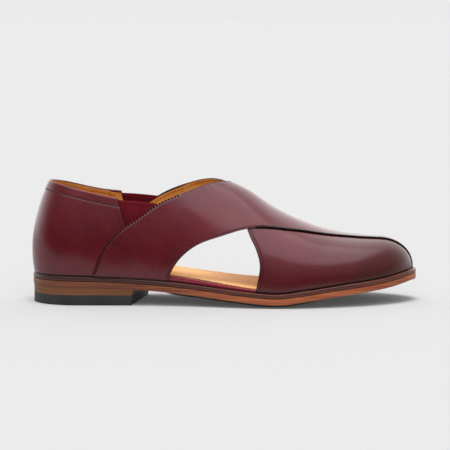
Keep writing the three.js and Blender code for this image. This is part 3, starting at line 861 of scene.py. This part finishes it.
QUARTER_LENGTH = 230.0
END_LINES = [0, 0.3, 0.7, 1.2, 1.8, 2.6, 3.2, 3.7, 4.2, 5.0, 7.0, 10.0]
TOP_LINES = [0, 0.25, 0.6, 1.0, 1.6, 2.6, 3.8, 5.0, 5.9, 6.35, 6.6, 6.85, 7.2, 7.6, 8.2, 9.5, 12.0]
COLLAR_SEAM = BAND_HEIGHT + 0.6
end_ways = np.array(END_LINES) / QUARTER_LENGTH
quarter_ways = np.concatenate([
    end_ways, np.linspace(end_ways[-1], 1 - end_ways[-1], 122)[1:-1], 1 - end_ways[::-1]])
quarter_spaced = edge_spaced(quarter_place, quarter_ways, TOP_LINES, [0, 0.8, 2.0, 4.0], 18)


def no_lift(turn, across):
    return np.zeros_like(turn)


def from_ends(way):
    return np.minimum(way, 1 - way) * QUARTER_LENGTH


def quarter_profile(way, below, above_foot):
    """The folded band stands proud of the face, and so does the hem at both ends"""
    band = BAND_STEP * (1 - ease(below, BAND_HEIGHT - 0.25, BAND_HEIGHT + 0.25))
    hem = 0.25 * (1 - ease(from_ends(way), 3.4, 4.0))
    return band + hem + groove(below, COLLAR_SEAM, 0.25, 0.4) + turned_edge(below, 0.5, 0.9)


print("the quarter has", len(quarter_ways), "steps round the heel")

# %% Build the quarter
quarter, q_way, q_below, q_foot, _, q_over_seat = panel(
    "quarter", quarter_place, no_lift, quarter_ways, quarter_spaced, quarter_profile, GAP)
from_end = from_ends(q_way)
quarter_tone = 0.2 * (1 - ease(q_foot, 2, 12)) + 0.5 * bump(q_below, BAND_HEIGHT + 0.7, 0.7)
quarter_tone = quarter_tone + 0.3 * bump(from_end, 4.2, 0.5)
collar_row = 0.45 * bump(q_below, COLLAR_SEAM, 0.45)
# Painted shade: the quarter's foot turns near-black by the welt
set_attribute(quarter, "painted_shade", np.clip(1 - q_over_seat / SHADED_HEIGHT, 0, 1))
set_attribute(quarter, "burnish_and_shade", np.clip(quarter_tone, 0, 1))
set_attribute(quarter, "edge_wax_and_shade", np.maximum(1 - ease(from_end, 0.4, 0.9), collar_row))
turn_faces(quarter)
thicken(quarter, LEATHER)
finish_piece(quarter, wine_leather, "wine_leather", "upper")


# %% [markdown]
# ## The linings
# The inside of the shoe is tan leather with the suede side out. It is a thinner sheet just under the
# outer leather, cut a little smaller, so that the wine leather shows as a thin line round it.

# %% Linings of the straps and the quarter
TUCK = 2.7
COVERED_INSET = 7.0
LINING = 0.6
LINING_INSET = 0.7
LINING_ROWS = 40


def strap_tuck(way, run):
    """The lining's rear edge passes inside the elastic that is sewn behind the strap"""
    return (1 - ease(run, 20.0, 27.0)) * ease(way, 0.06, 0.12) * (1 - ease(way, 0.36, 0.42))


def quarter_tuck(way, run):
    return 1 - ease(from_ends(way), 8.0, 12.0)


def lining(name, place, lift, ways, last_inset, clearance, tuck, flip=True):
    """A lining cut inside its leather. A strap's is cut further back where it is covered"""
    steps, lengths = across_lengths(place, ways)
    overs = []
    for way, length in zip(ways, lengths):
        last = mix(last_inset, COVERED_INSET, float(ease(way, 0.335, 0.365)) * (last_inset > 0))
        runs = np.linspace(LINING_INSET, length[-1] - last, LINING_ROWS + 1)
        overs.append(np.interp(runs, length, steps))
    overs = np.array(overs)
    piece = start_grid(name, len(ways) - 1, LINING_ROWS)
    column, row = grid_steps(piece, len(ways) - 1, LINING_ROWS)
    turn, across = place(ways[column], overs[column, row])
    run = np.array([np.interp(overs[c, r], steps, lengths[c]) for c, r in zip(column, row)])
    height = lift(turn, across) + WALL - LEATHER - 0.02 - TUCK * tuck(ways[column], run)
    set_points(piece, over_last(turn, across, height, clearance))
    set_attribute(piece, "burnish_and_shade", 0.35 * (np.minimum(row, LINING_ROWS - row) == 0))
    if flip:
        turn_faces(piece)
    merge_doubles(piece)
    thicken(piece, LINING, soften=0.12)
    finish_piece(piece, tan_lining, "tan_leather", "upper")


lining_ways = np.linspace(0, 1, 121)
lining("over_strap_lining", over_place, over_lift, lining_ways, LINING_INSET, GAP, strap_tuck)
lining("under_strap_lining", under_place, under_lift, lining_ways, LINING_INSET, UNDER_GAP, strap_tuck,
       flip=False)
lining("quarter_lining", quarter_place, no_lift, quarter_ways, 0.0, GAP, quarter_tuck)

# %% [markdown]
# ## The elastic gussets
# A gusset is a small piece of ribbed elastic between the quarter and a strap, sewn behind both. Its
# top has a narrow hem. The ribs are both shape and shading: a value stored on the mesh counts them.

# %% Gussets
GUSSET = [
    (0.197, 0.546, 0.534), (0.355, 0.518, 0.496), (0.325, 0.65, 0.64), (0.212, 0.735, 0.735),
]
RIB_COUNT = 46
HEM = 2.4


def build_gusset(name, side):
    column_of = 1 if side < 0 else 2
    corners = np.array([(float(turn_of(row[0])), side * row[column_of]) for row in GUSSET])
    rear_top, front_top, front_foot, rear_foot = corners

    def place(forward, down):
        forward, down = np.asarray(forward)[..., None], np.asarray(down)[..., None]
        top = mix(rear_top, front_top, forward)
        foot = mix(rear_foot, front_foot, forward)
        spot = mix(top, foot, down)
        return spot[..., 0], spot[..., 1]

    forwards = np.linspace(0, 1, RIB_COUNT * 4 + 1)
    lines = [0, 0.2, 0.5, 1.0, 1.6, 2.1, 2.4, 2.7, 3.2]
    overs, below, foot = edge_spaced(place, forwards, lines, [0, 1.0], 12)
    rows = overs.shape[1] - 1
    piece = start_grid(name, len(forwards) - 1, rows)
    column, row = grid_steps(piece, len(forwards) - 1, rows)
    turn, across = place(forwards[column], overs[column, row])
    depth = below[column, row]
    hem = 0.3 * (1 - ease(depth, HEM - 0.2, HEM + 0.2)) - 0.3 * np.clip(1 - depth / 0.6, 0, 1) ** 2
    rib_height = 0.09 * np.sin(forwards[column] * RIB_COUNT * 2 * np.pi) * ease(depth, HEM, HEM + 0.6)
    set_points(piece, over_last(turn, across, -GAP + hem + rib_height))
    set_attribute(piece, "rib", forwards[column] * RIB_COUNT)
    if side < 0:
        turn_faces(piece)
    thicken(piece, 0.8, soften=0.2)
    return piece


for name, side in (("elastic_web_lateral", -1), ("elastic_web_medial", 1)):
    node = "elastic_lateral" if side < 0 else "elastic_medial"
    finish_piece(build_gusset(name, side), elastic, "wine_elastic", node)


# %% [markdown]
# ## Stitches
# A row of stitches is many short ends of thread, each dipping into the leather at both ends. One
# stitch is modelled from a small sphere, drawn long and flat, and every row is made of copies of it,
# laid along the groove and turned with it.

# %% One stitch and a row of them
deselect()
bpy.ops.mesh.primitive_uv_sphere_add(segments=8, ring_count=6, radius=1)
one_stitch = bpy.context.object
stitch_points = np.array([vertex.co[:] for vertex in one_stitch.data.vertices])
stitch_faces = [tuple(face.vertices) for face in one_stitch.data.polygons]
stitch_points = stitch_points[:, [2, 0, 1]]
bpy.data.objects.remove(one_stitch)
THREAD_CLEARANCE = 0.6
print("one stitch has", len(stitch_faces), "faces")


def even_steps(points, pitch):
    """Places at an even pitch along a line of points, as shares of its list"""
    lengths = run_along(points)
    count = max(int(lengths[-1] / pitch), 1)
    return np.interp((np.arange(count) + 0.5) * pitch, lengths, np.arange(len(points)))


def stitch_line(line, pitch=2.6, long=1.8, wide=0.75, high=0.5):
    """The points of the stitches along a line, given with its normals"""
    points, normals = line
    places = even_steps(points, pitch)
    index = np.arange(len(points))

    def sample(values):
        return np.stack([np.interp(places, index, values[:, k]) for k in range(3)], -1)

    at, up, ahead = sample(points), sample(normals), unit(sample(np.gradient(points, axis=0)))
    up = unit(up - ahead * np.sum(ahead * up, axis=1, keepdims=True))
    axes = np.stack([ahead, np.cross(up, ahead), up], 1)
    return at[:, None] + (stitch_points * np.array([long, wide, high]) / 2) @ axes


def sew(name, lines, dark=0.9, **sizes):
    """One piece from the stitches along several lines, in wax-dark or plain wine thread"""
    placed = np.concatenate([stitch_line(line, **sizes) for line in lines])
    corners = len(stitch_points)
    faces = [tuple(corner + corners * i for corner in face)
             for i in range(len(placed)) for face in stitch_faces]
    mesh = bpy.data.meshes.new(name)
    mesh.from_pydata(((placed.reshape(-1, 3) + TO_FRAME) * MM).tolist(), [], faces)
    piece = bpy.data.objects.new(name, mesh)
    bpy.context.scene.collection.objects.link(piece)
    set_attribute(piece, "edge_wax_and_shade", np.full(len(mesh.vertices), dark))
    smooth_faces(piece, 80)
    finish_piece(piece, thread, "wine_leather")


def line_places(place, ways, distance, from_last=False):
    """Where a line lies at a distance from a sheet's first or last edge, and how far from both"""
    steps, lengths = across_lengths(place, ways)
    totals = lengths[:, -1]
    at = totals - distance if from_last else np.full_like(totals, distance)
    over = np.array([np.interp(d, length, steps) for d, length in zip(at, lengths)])
    return *place(ways, over), at, totals - at


def seam_line(place, lift, profile, ways, distance, from_last=False):
    """A line on a panel's face, with its normals"""
    turn, across, first, last = line_places(place, ways, distance, from_last)
    face = WALL + profile(ways, first, last) + waves(last_point(turn, across))
    height = lift(turn, across) + face + 0.05
    return over_last(turn, across, height, THREAD_CLEARANCE), last_normal(turn, across)


# %% Rows on the straps and the quarter
REAR_SEAM = 1.3
closed_ways = np.linspace(0.012, 0.35, 220)
topline_ways = np.linspace(0.355, 0.54, 120)
cut_out_ways = np.linspace(0.55, 0.985, 300)
front_ways = np.linspace(0.012, 0.385, 280)
for name, place, lift in (("over", over_place, over_lift), ("under", under_place, under_lift)):
    sew(name + "_strap_rear_seam", [seam_line(place, lift, strap_profile, closed_ways, REAR_SEAM)],
        long=1.7, wide=1.9, high=0.7)
    sew(name + "_strap_front_seams", [
        seam_line(place, lift, strap_profile, cut_out_ways, CUT_OUT_SEAM),
        seam_line(place, lift, strap_profile, front_ways, OPEN_SEAM, from_last=True),
        seam_line(place, lift, strap_profile, topline_ways, REAR_SEAM),
    ], dark=0.6, pitch=2.3, long=1.6, wide=1.0)
collar_ways = np.linspace(0.02, 0.98, 300)
sew("collar_seam", [seam_line(quarter_place, no_lift, quarter_profile, collar_ways, COLLAR_SEAM)],
    dark=0.6, pitch=2.3, long=1.5, wide=0.9)


# %% The same rows seen on the linings
def inner_line(place, lift, ways, tuck):
    """A line on a lining's inner face, where the thread of the outer row comes through"""
    turn, across, run, _ = line_places(place, ways, INNER_SEAM)
    height = lift(turn, across) + WALL - LEATHER - LINING - 0.05 - TUCK * tuck(ways, run)
    return over_last(turn, across, height, THREAD_CLEARANCE), last_normal(turn, across)


INNER_SEAM = 3.4
inside_ways = np.linspace(0.08, 0.50, 260)
sew("lining_seams", [
    inner_line(over_place, over_lift, inside_ways, strap_tuck),
    inner_line(under_place, under_lift, inside_ways, strap_tuck),
    inner_line(quarter_place, no_lift, collar_ways, quarter_tuck),
], dark=0.7, pitch=2.3, long=1.4, wide=0.8)

# %% [markdown]
# ## The sole
# The bottom is a pile of flat layers cut to the same outline: the wrapped insole board with its tan
# sock, the welt, the outsole, and under the heel two leather lifts and a rubber piece. Each is a flat
# grid laid over the outline, extruded down, and its rim is rounded with a bevel.


# %% Outline of the layers
def outline_point(turn, side, outward):
    """The feather line moved outwards in plan"""
    along = along_of(np.clip(turn, 0, 1))
    at = feather_point(along, side)
    before = feather_point(along_of(np.maximum(turn - NUDGE, 0)), side)
    after = feather_point(along_of(np.minimum(turn + NUDGE, 1)), side)
    normal = np.stack([after[..., 1] - before[..., 1], before[..., 0] - after[..., 0]], -1)
    normal = unit(np.where(side > 0, -normal, normal))
    normal = np.where((turn <= 0)[..., None], np.array([-1.0, 0.0]), normal)
    normal = np.where((turn >= 1)[..., None], np.array([1.0, 0.0]), normal)
    return at[..., :2] + normal * outward[..., None]


def edge_beyond(turn):
    return WALL + mix(0.9, 3.3, ease(along_of(turn), 0.15, 0.55))


INSETS = np.array([0.0, 0.8, 1.8, 3.0, 4.5, 6.0])
FILL = 7


def layer(name, outward, face, foot, reach=1.0, steps=170, insets=INSETS):
    """A layer of the sole between two heights over x, before its rim is rounded"""
    turns = np.linspace(0, float(turn_of(reach)), steps + 1)
    lateral, medial = [
        np.stack([outline_point(turns, side, outward(turns) - inset) for inset in insets], 1)
        for side in (-1, 1)]
    shares = np.linspace(0, 1, FILL + 2)[1:-1][None, :, None]
    between = mix(lateral[:, -1:], medial[:, -1:], shares)
    plan = np.concatenate([lateral, between, medial[:, ::-1]], axis=1)
    inset = np.concatenate([insets, np.full(FILL, insets[-1]), insets[::-1]])
    rows = plan.shape[1] - 1
    piece = start_grid(name, steps, rows)
    column, row = grid_steps(piece, steps, rows)
    flat = plan[column, row]
    set_points(piece, np.concatenate([flat, face(flat[:, 0])[:, None]], axis=1))
    set_attribute(piece, "inset", inset[row])
    merge_doubles(piece, 2e-6)
    edit_all(piece, bpy.ops.mesh.extrude_region_move, TRANSFORM_OT_translate={"value": (0, 0, -MM)})
    for vertex, depth_in in zip(piece.data.vertices, get_attribute(piece, "inset")):
        if vertex.select:
            vertex.co.z = float(foot(vertex.co.x / MM - TO_FRAME[0], depth_in)) * MM
    edit_all(piece, bpy.ops.mesh.normals_make_consistent, inside=False)
    return piece


def round_rim(piece, width):
    modify(piece, "BEVEL", width=width * MM, segments=3, limit_method="ANGLE",
           angle_limit=math.radians(60))
    smooth_faces(piece)


print("the sole's edge stands", edge_beyond(np.array([0.0, 1.0])), "mm out at the heel and the toe")


# %% Welt and outsole
WELT = 3.6
OUTSOLE = 4.4
welt = layer("welt_strip", edge_beyond, seat_under, lambda x, inset: seat_under(x) - WELT + GAP)
round_rim(welt, 0.9)
welt_along = get_points(welt)[:, 0] + TO_FRAME[0]
set_attribute(welt, "burnish_and_shade", 0.6 * (1 - ease(welt_along, -70, 70)))
finish_piece(welt, welt_edge, "dark_welt", "welt")


BELLY = 3.05
BELLY_INSET = 12.0


def outsole_foot(x, inset):
    """The sole bulges down under the ball, more the further in from its edge"""
    along = x / LAST_LENGTH
    drop = BELLY * ease(along, 0.30, 0.385) * (1 - ease(along, 0.70, 0.86))
    return np.maximum(seat_under(x) - WELT - OUTSOLE - drop * inset / BELLY_INSET, 0)


outsole = layer("leather_outsole", edge_beyond, lambda x: seat_under(x) - WELT, outsole_foot,
                insets=np.array([0.0, 0.8, 1.8, 3.2, 5.0, 7.0, 9.5, BELLY_INSET]))
round_rim(outsole, 0.5)
sole_spots = get_points(outsole)
arch = 0.62 * (1 - ease(sole_spots[:, 0], 52, 172))
over_foot = sole_spots[:, 2] - (seat_under(sole_spots[:, 0]) - WELT - OUTSOLE)
# Painted shadow: the outsole's underside is coloured dark, as the shadow under the ball
underside_shade = ease(get_attribute(outsole, "inset"), 0.2, 0.8) * (over_foot < 1.0)
set_attribute(outsole, "burnish_and_shade", np.maximum(arch, underside_shade))
finish_piece(outsole, sole_edge, "tan_sole", "outsole")

# %% Heel layers
HEEL_TAPER = 0.6
HEEL_REACH = 0.34
TOP_PIECE = 7.7
LOWER_LIFT = 3.2
BREAST_LATERAL = (74.8, -33.0)
BREAST_MEDIAL = (85.8, 29.6)
BREAST_RAKE = 1.6
HEEL_TOP = 14.4


def heel_outward(turn):
    return edge_beyond(turn) - HEEL_TAPER


def cut_breast(piece):
    """Cuts the heel's front along a slanted and raked plane and closes it"""
    slant = (BREAST_MEDIAL[0] - BREAST_LATERAL[0]) / (BREAST_MEDIAL[1] - BREAST_LATERAL[1])
    spot = (np.array([*BREAST_LATERAL, 0.0]) + TO_FRAME) * MM
    edit_all(piece, bpy.ops.mesh.bisect, plane_co=spot.tolist(), use_fill=True, clear_outer=True,
             plane_no=(1.0, -slant, -BREAST_RAKE / HEEL_TOP))


def heel_layer(name, face, foot, material, rim, slot, node):
    piece = layer(name, heel_outward, face, foot, reach=HEEL_REACH, steps=90)
    cut_breast(piece)
    round_rim(piece, rim)
    finish_piece(piece, material, slot, node)


def level(height):
    return lambda x: np.full_like(np.asarray(x, float), height)


heel_layer("heel_wedge", lambda x: seat_under(x) - WELT - OUTSOLE - 0.05,
           lambda x, inset: TOP_PIECE + LOWER_LIFT + 0.05, heel_stack, 0.15,
           "stacked_leather", "heel_lift_upper")
heel_layer("heel_lift", level(TOP_PIECE + LOWER_LIFT), lambda x, inset: TOP_PIECE + 0.05,
           heel_stack, 0.15, "stacked_leather", "heel_lift_lower")
heel_layer("heel_rubber", level(TOP_PIECE), lambda x, inset: 0.0,
           rubber, 0.35, "black_rubber", "heel_top_piece")

# %% [markdown]
# ## The footbed
# The board is wrapped in wine leather with a rounded edge, and the tan sock on it is cut with
# pinking shears, so its edge is a row of small teeth.

# %% Board and sock
BOARD_INSET = 0.5
SOCK_INSET = 1.6
SOCK = 1.5


def board_foot(x):
    return seat_under(x) + GAP


def board_face(x):
    return board_foot(x) + mix(4.7, 1.6, ease(x / LAST_LENGTH, 0.30, 0.62))


board = layer("wrapped_board", lambda turn: np.full_like(turn, -BOARD_INSET), board_face,
              lambda x, inset: board_foot(x))
round_rim(board, 1.0)
finish_piece(board, board_leather, "wine_board", "insole_board")

TOOTH = 3.6
TOOTH_DEPTH = 1.0
sock_turns = np.linspace(0, 1, 1200)
sock_run = run_along(feather_point(along_of(sock_turns), -1))


def pinked(turn):
    """Swings in and out along the edge, as pinking shears cut"""
    run = np.interp(turn, sock_turns, sock_run) / TOOTH
    tooth = np.abs(run % 1 - 0.5) * 2
    return -BOARD_INSET - SOCK_INSET + 0.25 - TOOTH_DEPTH * tooth


sock = layer("pinked_sock", pinked, lambda x: board_face(x) + SOCK,
             lambda x, inset: board_face(x) + 0.03, steps=620)
sock_edge = get_attribute(sock, "inset")
sock_spots = get_points(sock)
sock_rise = sock_spots[:, 2] - board_face(sock_spots[:, 0])
sock_spots[:, 2] -= 0.7 * (1 - ease(sock_edge, 0, 5)) * ease(sock_rise, 0.2, 1.0)
set_points(sock, sock_spots)
set_attribute(sock, "burnish_and_shade", mix(1.0, 0.25, ease(sock_rise, 0.3, 1.2)) * (sock_edge < 0.4))
smooth_faces(sock)
finish_piece(sock, tan_sock, "tan_leather", "insole_sock")

# %% [markdown]
# ## Floor, light and camera
# The shoe stands on a plain pale floor in a soft studio light. A sun lamp is the same everywhere, so
# the floor is evenly bright, and its angle sets how soft the shadow is. A product photograph lights
# the shape and the gloss apart: the key lamp and the front fill aren't seen in reflections, and the
# wide top box is seen only there. The sky is bright behind the shoe and darker behind the camera,
# which leaves the deep red bands between the broad reflections.

# %% Floor
deselect()
bpy.ops.mesh.primitive_plane_add(size=80)
floor = bpy.context.object
floor.name = "studio_floor"
floor_material, floor_tree, floor_shader = start_material("floor_paper")
floor_noise = add(floor_tree, "ShaderNodeTexNoise", {"Scale": 30.0, "Detail": 2.0}).outputs["Fac"]
floor_tint = blend_colour(floor_tree, floor_noise, (0.594, 0.594, 0.594, 1), (0.596, 0.596, 0.596, 1))
fill(floor_tree, floor_shader, {
    "Base Color": floor_tint, "Roughness": 1.0, "Specular IOR Level": 0.0})
floor_place = add(floor_tree, "ShaderNodeNewGeometry").outputs["Position"]
floor_parts = add(floor_tree, "ShaderNodeSeparateXYZ", {"Vector": floor_place}).outputs
in_front = spread(floor_tree, floor_parts["Y"], -0.2, -0.45)
glossy_ray = add(floor_tree, "ShaderNodeLightPath").outputs["Is Glossy Ray"]
card = add(floor_tree, "ShaderNodeBsdfDiffuse", {"Color": (0.01, 0.01, 0.01, 1.0)}).outputs[0]
carded = add(floor_tree, "ShaderNodeMixShader", {
    0: times(floor_tree, in_front, glossy_ray), 1: floor_shader.outputs[0], 2: card})
fill(floor_tree, floor_tree.nodes["Material Output"], {"Surface": carded.outputs[0]})
floor.data.materials.append(floor_material)
print("the floor is", round(floor.dimensions.x), "m wide")

# %% Sky and lamps
BACKGROUND = 0.83
world = bpy.data.worlds.new("studio")
bpy.context.scene.world = world
world.use_nodes = True
sky = world.node_tree
sky.nodes.clear()
direction = add(sky, "ShaderNodeTexCoord").outputs["Generated"]
sky_parts = add(sky, "ShaderNodeSeparateXYZ", {"Vector": direction}).outputs
behind = spread(sky, sky_parts["Y"], -0.4, 0.6, 0.0, 1.65)
overhead = spread(sky, sky_parts["Z"], -0.02, 0.5, 0.02, 0.42)
ray = add(sky, "ShaderNodeLightPath").outputs
dimmed = spread(sky, ray["Is Glossy Ray"], 0.0, 1.0, 0.5, 1.0)
brightness = times(sky, sums(sky, "MAXIMUM", behind, overhead), dimmed)
seen = add(sky, "ShaderNodeMix", {0: ray["Is Camera Ray"], 2: brightness, 3: BACKGROUND},
           data_type="FLOAT")
background = add(sky, "ShaderNodeBackground", {
    "Color": (1.0, 1.0, 1.0, 1.0), "Strength": seen.outputs[0]})
add(sky, "ShaderNodeOutputWorld", {"Surface": background.outputs[0]})


def soft_sun(name, strength, degrees, elevation):
    """A wide sun lamp in front of the shoe, on the camera's side"""
    lamp = bpy.data.lights.new(name, "SUN")
    lamp.energy = strength
    lamp.angle = math.radians(degrees)
    lamp_object = bpy.data.objects.new(name, lamp)
    bpy.context.scene.collection.objects.link(lamp_object)
    height = math.radians(elevation)
    source = Vector((0, -math.cos(height), math.sin(height)))
    lamp_object.rotation_euler = source.to_track_quat("Z", "Y").to_euler()
    return lamp_object


key_lamp = soft_sun("key_lamp", 2.2, 30, 86)
key_lamp.visible_glossy = False
top_box = soft_sun("top_box", 2.1, 72, 76)
top_box.visible_diffuse = False
front_fill = soft_sun("front_fill", 1.5, 60, 35)
front_fill.visible_glossy = False
front_fill.data.use_shadow = False
print("lamps are set")

# %% Camera
CAMERA_RISE = 6.0
CAMERA_DISTANCE = 1.6
FOCAL_LENGTH = 163.7
LOOK_AT = Vector((0.0003, 0.0014, 0.0588))
rise = math.radians(CAMERA_RISE)
lens = bpy.data.cameras.new("photo_camera")
lens.lens = FOCAL_LENGTH
lens.sensor_width = 36
camera = bpy.data.objects.new("photo_camera", lens)
bpy.context.scene.collection.objects.link(camera)
camera.location = LOOK_AT + CAMERA_DISTANCE * Vector((0, -math.cos(rise), math.sin(rise)))
camera.rotation_euler = (math.radians(90 - CAMERA_RISE), 0, 0)
bpy.context.scene.camera = camera
bpy.context.scene.view_settings.view_transform = "Standard"
print("the camera is", round(camera.location.length, 3), "m away")
